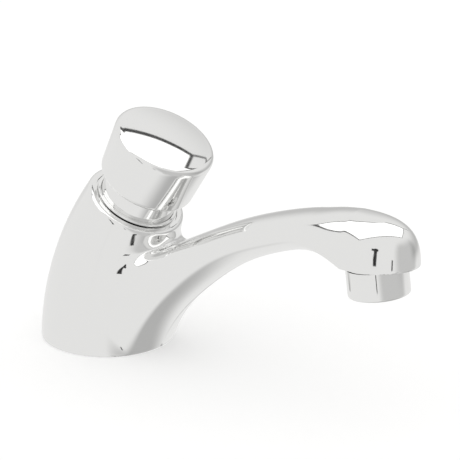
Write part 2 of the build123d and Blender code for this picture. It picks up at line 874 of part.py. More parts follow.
def spring_point(turns):
    """The spring's centre line, counted in turns from its foot, and its direction there."""
    wire_radius = spring_wire / 2
    foot = head_top + wire_radius + spring_end_gap
    rise = spring_cup_foot - wire_radius - spring_end_gap - foot
    around = radians(360 * turns)
    height = foot + rise * turns / spring_turns
    here = Vector(spring_mean_radius * cos(around), spring_mean_radius * sin(around), height)
    along = Vector(
        -spring_mean_radius * sin(around), spring_mean_radius * cos(around), rise / radians(360 * spring_turns)
    )
    place = cross_plane(cartridge_axis, 0)
    tip = place.from_local_coords(here + along)
    start = place.from_local_coords(here)
    return start, (tip - start).normalized()


def biarc(start, start_along, end, end_along):
    """Where two tangent arcs between two points meet, and the direction there."""
    chord = end - start
    both = start_along + end_along
    square = both.dot(both) - 4
    lean = chord.dot(both)
    arm = (lean - sqrt(lean**2 - square * chord.dot(chord))) / square
    first = start + start_along * arm
    last = end - end_along * arm
    return (first + last) * 0.5, (last - first).normalized()


# Return spring: one round wire, wound between the head's flange and the spring cup
with BuildPart() as return_spring:
    quarters = [spring_point(quarter / 4) for quarter in range(4 * spring_turns + 1)]
    with BuildLine() as wire_line:
        for (start, start_along), (end, end_along) in zip(quarters, quarters[1:]):
            middle, middle_along = biarc(start, start_along, end, end_along)
            TangentArc(start, middle, tangent=start_along)
            TangentArc(middle, end, tangent=middle_along)
    wire_start, wire_along = quarters[0]
    with BuildSketch(Plane(origin=wire_start, z_dir=wire_along)):
        Circle(spring_wire / 2)
    sweep(path=wire_line.line)
return_spring.part.label = "return_spring"
export_step(return_spring.part, "parts/return_spring.step")

fine = [spring_point(step / 48)[0] for step in range(48 * spring_turns + 1)]
least = min(
    (fine[i] - fine[j]).length - spring_wire for i in range(len(fine)) for j in range(i + 24, len(fine))
)
print(f"return spring: least gap to itself {least:.2f} mm, volume {return_spring.part.volume:.0f} mm3,")
wire_length = sum((b - a).length for a, b in zip(fine, fine[1:]))
print(f"against {wire_length * pi * (spring_wire / 2) ** 2:.0f} mm3 from its wire's length and section")
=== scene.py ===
"""A push timed basin tap in polished chrome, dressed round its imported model."""

import json
from math import atan2, cos, degrees, hypot, radians, sin, tan

import bmesh
import bpy
import numpy as np
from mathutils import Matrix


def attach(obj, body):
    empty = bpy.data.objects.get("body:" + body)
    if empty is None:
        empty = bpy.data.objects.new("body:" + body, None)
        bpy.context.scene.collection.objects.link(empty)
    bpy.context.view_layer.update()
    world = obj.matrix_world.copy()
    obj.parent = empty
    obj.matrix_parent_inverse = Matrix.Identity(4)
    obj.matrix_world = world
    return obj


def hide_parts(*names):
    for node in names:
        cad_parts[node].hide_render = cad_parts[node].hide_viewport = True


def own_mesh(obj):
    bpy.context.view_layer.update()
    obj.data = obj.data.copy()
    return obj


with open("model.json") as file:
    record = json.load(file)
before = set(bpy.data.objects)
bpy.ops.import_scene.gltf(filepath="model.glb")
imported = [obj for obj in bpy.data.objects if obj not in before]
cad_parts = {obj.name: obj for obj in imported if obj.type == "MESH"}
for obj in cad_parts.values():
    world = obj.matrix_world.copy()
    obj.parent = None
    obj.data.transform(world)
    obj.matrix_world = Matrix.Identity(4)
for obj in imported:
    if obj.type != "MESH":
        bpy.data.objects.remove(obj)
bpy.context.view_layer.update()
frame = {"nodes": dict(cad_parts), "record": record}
nodes = frame["nodes"]
MM = 0.001


# Tap body
# One hollow brass casting, ground smooth and chrome plated: a round column that leans towards
# the user, and a spout that grows out of its front, arches over and ends in a flat round tip.
base_radius = 28.6
rim_x, rim_z, rim_radius = 16.8, 63.6, 20.9
rim_tilt = radians(28.5)
rim_lip = 1.5
column_taper = 1.55
fan_x = rim_x + rim_z / tan(rim_tilt)
rim_reach = hypot(fan_x - rim_x, rim_z)

bend_x = 110.0
bend_pace = 1.2
rim_turn = atan2(rim_z, bend_x - rim_x)
rim_middle = hypot(bend_x - rim_x, rim_z)

# Stations along the spout: degrees round the bend, then the belly's, the creases' and the top's
# distance from the foot of the bend, and half the width at the creases.
stations = np.array([
    (0.0, 81.4, 86.0, 130.0, 15.6),
    (15.0, 72.4, 79.0, 108.0, 15.5),
    (30.0, 65.3, 73.6, 90.5, 14.6),
    (45.0, 61.5, 69.2, 80.6, 13.6),
    (60.0, 60.0, 66.4, 76.6, 13.0),
    (75.0, 60.4, 66.2, 76.1, 12.9),
    (90.0, 62.2, 67.7, 78.9, 13.1),
    (97.5, 61.9, 65.8, 81.0, 13.3),
    (105.0, 60.1, 61.8, 82.4, 13.4),
])
nose_x = bend_x + bend_pace * (stations[-1, 0] - 90)
nose_length, nose_power, nose_profile_power = 27.3, 2.25, 3.2
crown_power, root_power = 2.4, 6.0
crease_softness = 1.2
pool_blend, side_blend = 4.0, 9.0

tip_tilt = radians(8.0)
tip_x, tip_z = 136.9, 61.35
tip_boss_radius, tip_boss_height = 12.4, 5.0
edge_softness = 0.7
body_cell = 0.66

# Where along the spout its sides stop opening, its root's power gives way to the crown's and the
# fillet to the column begins, all in degrees round the bend.
flare_ends, root_ends, fillet_begins = (30, 62), (12, 48), (14, 30)
fillet_sides = (6, 16)
casting_rear, casting_nose, casting_foot, casting_top = -31.0, 158.0, -1.3, 86.0


def smooth_curve(places, values):
    """A natural cubic curve through given values: its second slope is continuous throughout."""
    gap = np.diff(places)
    count = len(places)
    system = np.eye(count)
    pull = np.zeros(count)
    for i in range(1, count - 1):
        system[i, i - 1:i + 2] = gap[i - 1], 2 * (gap[i - 1] + gap[i]), gap[i]
        pull[i] = 6 * ((values[i + 1] - values[i]) / gap[i] - (values[i] - values[i - 1]) / gap[i - 1])
    bend = np.linalg.solve(system, pull)

    def curve(place):
        place = np.clip(place, places[0], places[-1])
        i = np.clip(np.searchsorted(places, place) - 1, 0, count - 2)
        a, b, step = place - places[i], places[i + 1] - place, gap[i]
        cubic = (bend[i] * b**3 + bend[i + 1] * a**3) / (6 * step)
        line = (values[i] / step - bend[i] * step / 6) * b
        line = line + (values[i + 1] / step - bend[i + 1] * step / 6) * a
        return cubic + line

    return curve


belly_at, crease_at, top_at, width_at = [smooth_curve(stations[:, 0], stations[:, i]) for i in range(1, 5)]


def smooth_step(low, high, value):
    """Rises from 0 to 1 between two values, level at both ends."""
    share = np.clip((value - low) / (high - low), 0, 1)
    return share * share * (3 - 2 * share)


def both(a, b, blend):
    """Where two shapes overlap: the larger of their distances out, raised by the square of how far
    they are closer to each other than the blend, which rounds the edge between them."""
    near = np.maximum(blend - np.abs(a - b), 0)
    return np.maximum(a, b) + near * near / (4 * blend)


def either(a, b, blend):
    """Two shapes together: the overlap's formula turned inside out fills the corner between them."""
    return -both(-a, -b, blend)


def column_field(x, y, z):
    """Distance out of the column: circles on planes that fan about one line in front of its foot."""
    share = np.arctan2(z, fan_x - x) / rim_tilt
    radius = base_radius + (rim_radius - base_radius) * np.clip(share, 0, None) ** column_taper
    middle = fan_x + (rim_reach - fan_x) * share
    side = np.hypot(np.hypot(fan_x - x, z) - middle, y) - radius
    above = (x - rim_x) * sin(rim_tilt) + (z - rim_z) * cos(rim_tilt)
    return both(side, above, rim_lip)


def spout_field(x, y, z):
    """Distance out of the spout: below the creases a belly arc, above them a rounded crown whose
    sides open towards the column's circle, so that they run into it without a step."""
    ahead = np.maximum(x - bend_x, 0)
    out = np.where(ahead > 0, z, np.hypot(bend_x - x, z))
    turn = np.arctan2(z, np.maximum(bend_x - x, 1e-6))
    place = np.where(ahead > 0, 90 + ahead / bend_pace, np.degrees(turn))
    belly, crease, top, width = belly_at(place), crease_at(place), top_at(place), width_at(place)
    y = np.abs(y)

    share = np.clip(turn / rim_turn, 0, 1)
    circle = base_radius + (rim_radius - base_radius) * share**column_taper
    middle = bend_x + (rim_middle - bend_x) * share
    reach = np.hypot(middle - crease, width)
    flare = np.arcsin(np.clip(circle / reach, 0, 1)) - np.arctan2(width, middle - crease)
    flare = np.clip(flare, 0, 1) * (1 - smooth_step(*flare_ends, place))
    line = width + (out - crease) * np.tan(flare)
    chord = np.sqrt(np.maximum(circle**2 - (middle - out) ** 2, 0))
    side = np.maximum(np.where(out > middle - circle * np.sin(flare), chord, line), 1)

    forward = np.maximum(x - nose_x, 0) / nose_length
    across = y / side
    plan = (across**nose_power + forward**nose_power) ** (1 / nose_power)
    rise = np.maximum(out - crease, 0) / (top - crease)
    ahead_share = forward**2 / (forward**2 + across**2 + 1e-9)
    power = crown_power + (nose_profile_power - crown_power) * ahead_share
    power = power + (root_power - crown_power) * (1 - smooth_step(*root_ends, place))
    size = (plan**power + rise**power) ** (1 / power) + 1e-9
    ray = np.sqrt(y**2 + (forward * nose_length) ** 2 + np.maximum(out - crease, 0) ** 2)
    crown = ray * (1 - 1 / size)

    sag = crease - belly
    belly_arc = (width**2 + sag**2) / (2 * sag)
    under = np.hypot(y, np.minimum(out - belly - belly_arc, 0)) - belly_arc
    return both(crown, under, crease_softness)


def tip_field(x, y, z):
    """How far a point lies below the tip's flat face, let go well behind the tip."""
    below = (tip_z - z) * cos(tip_tilt) - (tip_x - x) * sin(tip_tilt)
    return below - np.maximum(nose_x - tip_boss_height - x, 0)


def body_field(x, y, z):
    """Distance out of the whole casting, with its joints filled and its edges rounded."""
    spout = spout_field(x, y, z)
    along = (x - tip_x) * cos(tip_tilt) + (z - tip_z) * sin(tip_tilt)
    boss = np.maximum(np.hypot(along, y) - tip_boss_radius, -tip_field(x, y, z) - tip_boss_height)
    spout = both(either(spout, boss, edge_softness), tip_field(x, y, z), edge_softness)
    turn = np.degrees(np.arctan2(z, np.maximum(bend_x - x, 1e-6)))
    blend = pool_blend + (side_blend - pool_blend) * smooth_step(*fillet_sides, np.abs(y))
    blend = blend * smooth_step(*fillet_begins, turn) + edge_softness / 2
    whole = either(column_field(x, y, z), spout, blend)
    return both(whole, -z, edge_softness)


def skin(field, low, high, cell):
    """A closed skin where a field is zero: one point in each cell that the surface crosses, and a
    four-sided face round each cell edge that it crosses."""
    axes = [np.arange(a, b, cell) for a, b in zip(low, high)]
    values = field(*np.meshgrid(*axes, indexing="ij", sparse=False))
    inside = values < 0
    corners = np.array([(i, j, k) for i in (0, 1) for j in (0, 1) for k in (0, 1)])
    size = np.array(values.shape) - 1
    one_inside = inside.astype(np.int8)
    filled = sum(one_inside[i:i + size[0], j:j + size[1], k:k + size[2]] for i, j, k in corners)
    crossed = (filled > 0) & (filled < 8)
    cells = np.argwhere(crossed)
    number = np.full(crossed.shape, -1)
    number[crossed] = np.arange(len(cells))

    at = values[tuple((cells[:, None, :] + corners).transpose(2, 0, 1))]
    pairs = [(a, b) for a in range(8) for b in range(a, 8) if np.abs(corners[a] - corners[b]).sum() == 1]
    first, second = np.array(pairs).T
    cut = (at[:, first] < 0) != (at[:, second] < 0)
    share = np.where(cut, at[:, first] / np.where(cut, at[:, first] - at[:, second], 1), 0)
    spots = corners[first] + share[..., None] * (corners[second] - corners[first])
    middle = (spots * cut[..., None]).sum(1) / cut.sum(1)[:, None]
    points = np.array(low) + cell * (cells + middle)

    faces = []
    steps = np.eye(3, dtype=int)
    for axis in range(3):
        one, two = steps[(axis + 1) % 3], steps[(axis + 2) % 3]
        change = np.diff(one_inside, axis=axis)
        edge = np.argwhere(change != 0)
        way = change[tuple(edge.T)]
        face = np.stack([number[tuple((edge - s).T)] for s in (0 * one, one, one + two, two)], 1)
        faces.append(np.where(way[:, None] < 0, face, face[:, ::-1]))
    return points, np.concatenate(faces)


def settle(points, faces, field, rounds):
    """Evens the points out over the skin and brings each back onto it along the field's slope."""
    edges = np.concatenate([faces[:, [i, (i + 1) % 4]] for i in range(4)])
    edges = np.unique(np.sort(edges, 1), axis=0)
    ends = np.concatenate([edges, edges[:, ::-1]])
    count = np.bincount(ends[:, 0], minlength=len(points))[:, None]
    reach = 0.02
    for turn in range(rounds):
        total = [np.bincount(ends[:, 0], points[ends[:, 1], i], len(points)) for i in range(3)]
        mean = np.stack(total, 1) / count
        if turn < rounds - 2:
            points = points + 0.6 * (mean - points)
        value = field(*points.T)
        slope = []
        for axis in np.eye(3) * reach:
            slope.append((field(*(points + axis).T) - field(*(points - axis).T)) / (2 * reach))
        slope = np.stack(slope, 1)
        length = np.maximum((slope**2).sum(1), 0.05)
        points = points - (value / length)[:, None] * slope
    return points


def mesh_piece(name, points, faces, sharp=32):
    """A mesh object from points in millimetres, smooth but for edges sharper than an angle."""
    mesh = bpy.data.meshes.new(name)
    mesh.from_pydata((np.asarray(points) * MM).tolist(), [], [list(face) for face in faces])
    mesh.validate()
    mesh.shade_smooth()
    mesh.set_sharp_from_angle(angle=radians(sharp))
    piece = bpy.data.objects.new(name, mesh)
    bpy.context.scene.collection.objects.link(piece)
    return piece


def tilted_axis(x, z, tilt):
    """An axis in the plane of symmetry: its origin, its direction up and the direction across it."""
    return np.array([x, 0, z]), np.array([sin(tilt), 0, cos(tilt)]), np.array([cos(tilt), 0, -sin(tilt)])


def lathe(name, profile, axis, count=180, sharp=32):
    """A closed profile of (radius, height) points carried round an axis: each point of the piece is
    the height along the axis plus the radius times the cosine and the sine of its turn."""
    origin, up, across = axis
    profile = np.array(profile, float)
    turns = np.arange(count) * 2 * np.pi / count
    radius, height = profile[:, 0, None], profile[:, 1, None]
    rings = (
        origin
        + height[..., None] * up
        + (radius * np.cos(turns))[..., None] * across
        + (radius * np.sin(turns))[..., None] * np.array([0, 1, 0])
    )
    rows = len(profile)
    number = np.arange(rows * count).reshape(rows, count)
    number[profile[:, 0] == 0] = number[profile[:, 0] == 0][:, :1]
    one, two = number, np.roll(number, -1, axis=0)
    faces = np.stack([one, np.roll(one, -1, 1), np.roll(two, -1, 1), two], -1).reshape(-1, 4)
    faces = faces[[len(set(face)) > 2 for face in faces.tolist()]]
    faces = [list(dict.fromkeys(face)) for face in faces.tolist()]
    return mesh_piece(name, rings.reshape(-1, 3), faces, sharp)


def clean(piece):
    """Drops loose points and turns every face outwards."""
    work = bmesh.new()
    work.from_mesh(piece.data)
    loose = [v for v in work.verts if not v.link_faces]
    bmesh.ops.delete(work, geom=loose, context="VERTS")
    bmesh.ops.recalc_face_normals(work, faces=work.faces)
    work.to_mesh(piece.data)
    work.free()


def arc(middle, radius, start, end, count=8):
    """Points of a round corner in a profile, from one angle in degrees to another."""
    turns = np.radians(np.linspace(start, end, count))
    return [(middle[0] + radius * cos(t), middle[1] + radius * sin(t)) for t in turns]


cartridge_axis = tilted_axis(rim_x, rim_z, rim_tilt)
tip_axis = tilted_axis(tip_x, tip_z, -tip_tilt)
upright = tilted_axis(0, 0, 0)

half_wide = body_cell * (int(base_radius / body_cell) + 2.5)
casting_low = (casting_rear, -half_wide, casting_foot)
casting_high = (casting_nose, half_wide + body_cell / 2, casting_top)
points, faces = skin(body_field, casting_low, casting_high, body_cell)
points = settle(points, faces, body_field, 8)
tap_body = mesh_piece("tap_body_casting", points, faces)


def machine(piece, tool, how):
    """Cuts a tool's shape out of a piece or joins it on, and throws the tool away."""
    step = piece.modifiers.new(how.lower(), "BOOLEAN")
    step.operation, step.solver, step.object = how, "EXACT", tool
    bpy.context.view_layer.update()
    shaped = bpy.data.meshes.new_from_object(piece.evaluated_get(bpy.context.evaluated_depsgraph_get()))
    piece.modifiers.clear()
    piece.data = shaped
    bpy.data.objects.remove(tool)


def drum(axis, radius, foot, top, count=96):
    """A plain turned cylinder on an axis, as a tool for cutting or joining."""
    tool = lathe("tool", [(0, foot), (radius, foot), (radius, top), (0, top)], axis, count)
    clean(tool)
    return tool


# Machined pockets: the base's cavity with its two bosses, the stepped bore for the cartridge,
# the inlet and stud threads, and the threaded nipple that the aerator screws on.
cavity_radius, cavity_depth, boss_gap = 24.0, 5.0, 1.5
groove_inner, groove_outer, groove_depth = 24.95, 27.05, 1.6
inlet_x, inlet_boss_radius = -8.25, 7.5
stud_x, stud_boss_radius = 13.0, 6.5
below_base = -2.0
# Each bore as its radius, its foot and its top.
inlet_bores = [(4.5, below_base, 11.5), (4.25, 11.2, 12.5), (3.4, 12.2, 20.3)]
stud_bore = (3.4, below_base, 16.0)
nipple, nipple_bore = (10.9, -5, 4), (8.0, -6, 6)
bore_steps = [
    (0, 4), (18.1, 4), (18.1, -6), (16.9, -6), (16.9, -16), (14.4, -16), (14.4, -32), (13.3, -32),
    (13.3, -35.5), (11.05, -35.5), (11.05, -38.5), (9.2, -38.5), (9.2, -52.5), (0, -52.5),
]
inlet_axis, stud_axis = tilted_axis(inlet_x, 0, 0), tilted_axis(stud_x, 0, 0)
groove_steps = [
    (groove_inner, below_base), (groove_outer, below_base),
    (groove_outer, groove_depth), (groove_inner, groove_depth),
]
groove = lathe("tool", groove_steps, upright, 180)
clean(groove)
machine(tap_body, drum(upright, cavity_radius, below_base, cavity_depth, 180), "DIFFERENCE")
machine(tap_body, drum(inlet_axis, inlet_boss_radius, boss_gap, cavity_depth + 1), "UNION")
machine(tap_body, drum(stud_axis, stud_boss_radius, boss_gap, cavity_depth + 1), "UNION")
machine(tap_body, groove, "DIFFERENCE")
bore = lathe("tool", bore_steps, cartridge_axis, 180)
clean(bore)
machine(tap_body, bore, "DIFFERENCE")
for inlet_bore in inlet_bores:
    machine(tap_body, drum(inlet_axis, *inlet_bore), "DIFFERENCE")
machine(tap_body, drum(stud_axis, *stud_bore), "DIFFERENCE")
machine(tap_body, drum(tip_axis, *nipple), "UNION")
machine(tap_body, drum(tip_axis, *nipple_bore), "DIFFERENCE")
tap_body.data.shade_smooth()
tap_body.data.set_sharp_from_angle(angle=radians(32))
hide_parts("tap_body")
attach(tap_body, "root")


def chrome(name, colour=(0.88, 0.88, 0.875), roughness=0.05):
    """Bright chrome plate over hand-ground metal: barely rough, with a faint slow ripple."""
    material = bpy.data.materials.new(name)
    material.use_nodes = True
    tree = material.node_tree
    shader = tree.nodes["Principled BSDF"]
    shader.inputs["Base Color"].default_value = (*colour, 1)
    shader.inputs["Metallic"].default_value = 1
    place = tree.nodes.new("ShaderNodeTexCoord")
    ripple = tree.nodes.new("ShaderNodeTexNoise")
    ripple.inputs["Scale"].default_value = 90
    ripple.inputs["Detail"].default_value = 1
    bump = tree.nodes.new("ShaderNodeBump")
    bump.inputs["Strength"].default_value = 0.04
    bump.inputs["Distance"].default_value = 0.0003
    haze = tree.nodes.new("ShaderNodeTexNoise")
    haze.inputs["Scale"].default_value = 260
    spread = tree.nodes.new("ShaderNodeMapRange")
    spread.inputs["To Min"].default_value = roughness * 0.7
    spread.inputs["To Max"].default_value = roughness * 1.4
    link = tree.links.new
    link(place.outputs["Object"], ripple.inputs["Vector"])
    link(place.outputs["Object"], haze.inputs["Vector"])
    link(ripple.outputs["Fac"], bump.inputs["Height"])
    link(bump.outputs["Normal"], shader.inputs["Normal"])
    link(haze.outputs["Fac"], spread.inputs["Value"])
    link(spread.outputs["Result"], shader.inputs["Roughness"])
    return material


def dress(piece, material):
    """Gives a piece one material."""
    piece.data.materials.clear()
    piece.data.materials.append(material)


body_chrome = chrome("body_chrome")
dress(tap_body, body_chrome)


# Push button
# A hollow cap turned from brass and chromed, wider at its top, with a slimmer neck below that
# slides in the ring. Its top is a very shallow dome with a softly rounded edge.
button_height, crown_drop, crown_radius = 35.2, 1.75, 19.0
crown = [(r, button_height - crown_drop * (r / crown_radius) ** 2) for r in np.linspace(crown_radius, 0, 20)]
button_profile = (
    [(0, 33.5), (18.0, 31.4), (18.5, 14.0), (14.3, 10.5), (14.3, -4.0), (16.0, -4.0), (16.0, 8.6)]
    + arc((17.2, 8.6), 1.2, 180, 110, 6)
    + arc((17.2, 13.0), 3.1, -70, -6, 12)
    + [(20.95, 22.0), (21.6, 30.4)]
    + arc((19.3, 31.15), 2.3, 2, 72, 14)
    + crown
)
push_button = lathe("push_button_cap", button_profile, cartridge_axis, 240)
clean(push_button)
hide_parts("push_button")
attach(push_button, "button")
dress(push_button, chrome("button_chrome", roughness=0.045))


# Retaining ring
# A short sleeve turned from brass, polished and chromed. It screws into the column's rim, its thin
# flange stands just proud of the rim, and the button's neck slides in it.
ring_profile = (
    [(16.07, 1.0), (16.07, -6.0), (18.0, -6.0), (18.0, -0.8), (17.5, -0.8), (17.5, 0.8)]
    + arc((17.0, 0.8), 0.5, 0, 90, 5)
    + [(16.3, 1.3)]
)
retaining_ring = lathe("retaining_ring_collar", ring_profile, cartridge_axis, 240)
clean(retaining_ring)
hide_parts("retaining_ring")
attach(retaining_ring, "root")
dress(retaining_ring, chrome("ring_chrome", roughness=0.045))


# Aerator shell
# A short sleeve turned from brass and chromed, with a softly broken lower edge. It screws on the
# nipple under the tip, and a ledge inside it holds the aerator's stack.
shell_profile = (
    [(12.4, 0.0), (11.0, 0.0), (11.0, -7.5), (10.0, -7.5), (10.0, -10.6), (9.3, -10.6), (9.3, -11.2)]
    + [(9.6, -11.5)]
    + arc((11.4, -10.5), 1.0, -90, 0, 7)
)
aerator_shell = lathe("aerator_shell_sleeve", shell_profile, tip_axis, 200)
clean(aerator_shell)
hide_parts("aerator_shell")
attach(aerator_shell, "root")
dress(aerator_shell, chrome("aerator_chrome", roughness=0.05))


# Return spring
# One round stainless wire, wound in six turns. It stands on the cartridge head's flange and
# carries the plate under the button, which it lifts again after a press.
wire_radius, coil_radius, coil_turns = 0.65, 11.3, 6
coil_foot, coil_top, coil_travel = -11.25, 11.25, 7.0


def coil(name, axis, turns, steps=40, sides=12):
    """A round wire along a helix: its middle turns at an even radius and climbs evenly, and a ring
    of points, square to its path, is worked out at each step."""
    origin, up, across = axis
    sideways = np.cross(up, across)
    share = np.linspace(0, 1, turns * steps + 1)[:, None]
    around = 2 * np.pi * turns * share
    out = np.cos(around) * across + np.sin(around) * sideways
    path = origin + coil_radius * out + (coil_foot + (coil_top - coil_foot) * share) * up
    along = np.gradient(path, axis=0)
    along = along / np.linalg.norm(along, axis=1, keepdims=True)
    other = np.cross(along, out)
    turn = np.arange(sides) * 2 * np.pi / sides
    rings = path[:, None] + wire_radius * (
        np.cos(turn)[None, :, None] * out[:, None] + np.sin(turn)[None, :, None] * other[:, None]
    )
    number = np.arange(len(path) * sides).reshape(len(path), sides)
    one, two = number[:-1], number[1:]
    sides_faces = np.stack([one, np.roll(one, -1, 1), np.roll(two, -1, 1), two], -1).reshape(-1, 4)
    faces = [list(face) for face in sides_faces.tolist()] + [number[0].tolist(), number[-1].tolist()]
    piece = mesh_piece(name, rings.reshape(-1, 3), faces, 40)
    clean(piece)
    return piece


def metal(name, colour, roughness, turned):
    """Machined metal: fine rings left by the lathe round the cartridge's axis, and slow stains."""
    material = bpy.data.materials.new(name)
    material.use_nodes = True
    tree = material.node_tree
    shader = tree.nodes["Principled BSDF"]
    shader.inputs["Metallic"].default_value = 1
    place = tree.nodes.new("ShaderNodeTexCoord")
    turn_to = tree.nodes.new("ShaderNodeMapping")
    turn_to.vector_type = "TEXTURE"
    turn_to.inputs["Location"].default_value = (rim_x * MM, 0, rim_z * MM)
    turn_to.inputs["Rotation"].default_value = (0, rim_tilt, 0)
    marks = tree.nodes.new("ShaderNodeTexWave")
    marks.wave_type, marks.bands_direction = "BANDS", "Z"
    marks.inputs["Scale"].default_value = turned
    marks.inputs["Distortion"].default_value = 0.6
    stain = tree.nodes.new("ShaderNodeTexNoise")
    stain.inputs["Scale"].default_value = 220
    tint = tree.nodes.new("ShaderNodeValToRGB")
    tint.color_ramp.elements[0].color = (*[0.86 * c for c in colour], 1)
    tint.color_ramp.elements[1].color = (*colour, 1)
    spread = tree.nodes.new("ShaderNodeMapRange")
    spread.inputs["To Min"].default_value = roughness * 0.75
    spread.inputs["To Max"].default_value = roughness * 1.3
    bump = tree.nodes.new("ShaderNodeBump")
    bump.inputs["Strength"].default_value = 0.15
    bump.inputs["Distance"].default_value = 0.00005
    link = tree.links.new
    link(place.outputs["Object"], turn_to.inputs["Vector"])
    link(turn_to.outputs["Vector"], marks.inputs["Vector"])
    link(place.outputs["Object"], stain.inputs["Vector"])
    link(stain.outputs["Fac"], tint.inputs["Fac"])
    link(tint.outputs["Color"], shader.inputs["Base Color"])
    link(stain.outputs["Fac"], spread.inputs["Value"])
    link(spread.outputs["Result"], shader.inputs["Roughness"])
    link(marks.outputs["Fac"], bump.inputs["Height"])
    link(bump.outputs["Normal"], shader.inputs["Normal"])
    return material


stainless = metal("stainless_steel", (0.62, 0.62, 0.61), 0.28, 900)
spring = coil("return_spring_coil", cartridge_axis, coil_turns)
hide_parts("return_spring")
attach(spring, "root")
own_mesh(spring)
dress(spring, stainless)


# Cartridge and aerator inserts
# The pieces inside keep their machined shapes: turned brass and stainless steel, moulded acetal
# and soft nitrile rubber, each with the finish that its making leaves.
def moulded(name, colour, roughness, grain, relief):
    """Moulded plastic or rubber: one colour with faint clouds, and a fine skin from the mould."""
    material = bpy.data.materials.new(name)
    material.use_nodes = True
    tree = material.node_tree
    shader = tree.nodes["Principled BSDF"]
    place = tree.nodes.new("ShaderNodeTexCoord")
    clouds = tree.nodes.new("ShaderNodeTexNoise")
    clouds.inputs["Scale"].default_value = 150
    skin_grain = tree.nodes.new("ShaderNodeTexNoise")
    skin_grain.inputs["Scale"].default_value = grain
    tint = tree.nodes.new("ShaderNodeValToRGB")
    tint.color_ramp.elements[0].color = (*[0.9 * c for c in colour], 1)
    tint.color_ramp.elements[1].color = (*colour, 1)
    spread = tree.nodes.new("ShaderNodeMapRange")
    spread.inputs["To Min"].default_value = roughness * 0.85
    spread.inputs["To Max"].default_value = roughness * 1.15
    bump = tree.nodes.new("ShaderNodeBump")
    bump.inputs["Strength"].default_value = relief
    bump.inputs["Distance"].default_value = 0.00005
    link = tree.links.new
    for noise in (clouds, skin_grain):
        link(place.outputs["Object"], noise.inputs["Vector"])
    link(clouds.outputs["Fac"], tint.inputs["Fac"])
    link(tint.outputs["Color"], shader.inputs["Base Color"])
    link(clouds.outputs["Fac"], spread.inputs["Value"])
    link(spread.outputs["Result"], shader.inputs["Roughness"])
    link(skin_grain.outputs["Fac"], bump.inputs["Height"])
    link(bump.outputs["Normal"], shader.inputs["Normal"])
    return material


brass = metal("machined_brass", (0.72, 0.56, 0.30), 0.24, 700)
white_acetal = moulded("white_acetal", (0.86, 0.86, 0.83), 0.42, 2500, 0.1)
grey_acetal = moulded("grey_acetal", (0.45, 0.46, 0.47), 0.45, 2500, 0.12)
rubber = moulded("nitrile_rubber", (0.035, 0.035, 0.035), 0.62, 3500, 0.25)
finishes = {
    "brass_head": brass, "stainless": stainless, "white_plastic": white_acetal,
    "grey_plastic": grey_acetal, "black_rubber": rubber,
}
slot_of = {entry["node"]: entry["material_slot"] for entry in frame["record"]["subparts"]}
replaced = {"tap_body", "push_button", "retaining_ring", "aerator_shell", "return_spring"}
for name, piece in nodes.items():
    if name not in replaced:
        dress(piece, finishes[slot_of[name]])


# Studio
# A plain white floor and a white room that lights the tap evenly. Polished metal alone sees a painted
# reflection of a photographer's tent: pale all round, painted shade at the back and below, painted dark
# slits, a painted lamp highlight.
def sums(tree):
    """Short words for a tree's arithmetic: each takes numbers or sockets and gives a socket."""
    def plain(kind):
        def work(*values):
            node = tree.nodes.new("ShaderNodeMath")
            node.operation = kind
            for socket, value in zip(node.inputs, values):
                if isinstance(value, (int, float)):
                    socket.default_value = value
                else:
                    tree.links.new(value, socket)
            return node.outputs[0]
        return work

    def ramp(value, low, high):
        node = tree.nodes.new("ShaderNodeMapRange")
        node.interpolation_type = "SMOOTHSTEP"
        tree.links.new(value, node.inputs["Value"])
        node.inputs["From Min"].default_value = low
        node.inputs["From Max"].default_value = high
        return node.outputs["Result"]

    names = ("ADD", "SUBTRACT", "MULTIPLY", "DIVIDE", "MAXIMUM", "ABSOLUTE", "ARCTAN2", "ARCSINE")
    return [plain(name) for name in names] + [ramp]


world = bpy.data.worlds.new("studio")
bpy.context.scene.world = world
world.use_nodes = True
tree = world.node_tree
add, less, times, over, most, size_of, angle_of, arcsine, ramp = sums(tree)
toward = tree.nodes.new("ShaderNodeSeparateXYZ")
tree.links.new(tree.nodes.new("ShaderNodeTexCoord").outputs["Generated"], toward.inputs[0])
east, north, high = toward.outputs
azimuth_seen = times(angle_of(east, times(north, -1)), degrees(1))
height_seen = times(arcsine(high), degrees(1))

# The painted highlight of an overhead lamp, seen only by glossy rays, is a slanted four-sided panel: its
# edges are lines in the plane one unit up.
painted_highlight_level, room_level, frame_width = 1.35, 0.86, 0.07
level = most(high, 0.02)
panel_x, panel_y = over(east, level), over(north, level)
near_edge = less(panel_y, times(panel_x, 1.35))
end_edge = add(panel_y, times(panel_x, 1.77))
jog = ramp(panel_x, -0.36, -0.28)
slope = add(1.02, times(jog, 0.48))
far_line = most(add(add(0.5, times(jog, 0.47)), times(panel_x, slope)), -0.52)
far_edge = less(panel_y, far_line)


def painted_panel_area(margin, soft):
    """1 inside the painted lamp highlight's four edges, moved out by a margin."""
    far = add(margin * 0.7, times(jog, margin))
    edges = (
        ramp(panel_x, -1.0 - margin, -1.0 - margin + soft),
        ramp(times(end_edge, -1), -1.43 - margin, -1.43 - margin + soft),
        ramp(near_edge, -0.96 - margin, -0.96 - margin + soft),
        ramp(less(far, far_edge), 0, soft),
    )
    area = ramp(high, 0.05, 0.12)
    for edge in edges:
        area = times(area, edge)
    return area


painted_lamp_highlight, painted_panel_frame = painted_panel_area(0, 0.03), painted_panel_area(frame_width, 0.03)

# A painted dark reflection of a thin rod runs back from the lamp highlight's far corner.
painted_rod_reflection = ramp(times(size_of(less(panel_x, 0.13)), -1), -0.022, -0.01)
painted_rod_reflection = times(painted_rod_reflection, times(ramp(panel_y, 1.12, 1.16), ramp(times(panel_y, -1), -3, -2)))
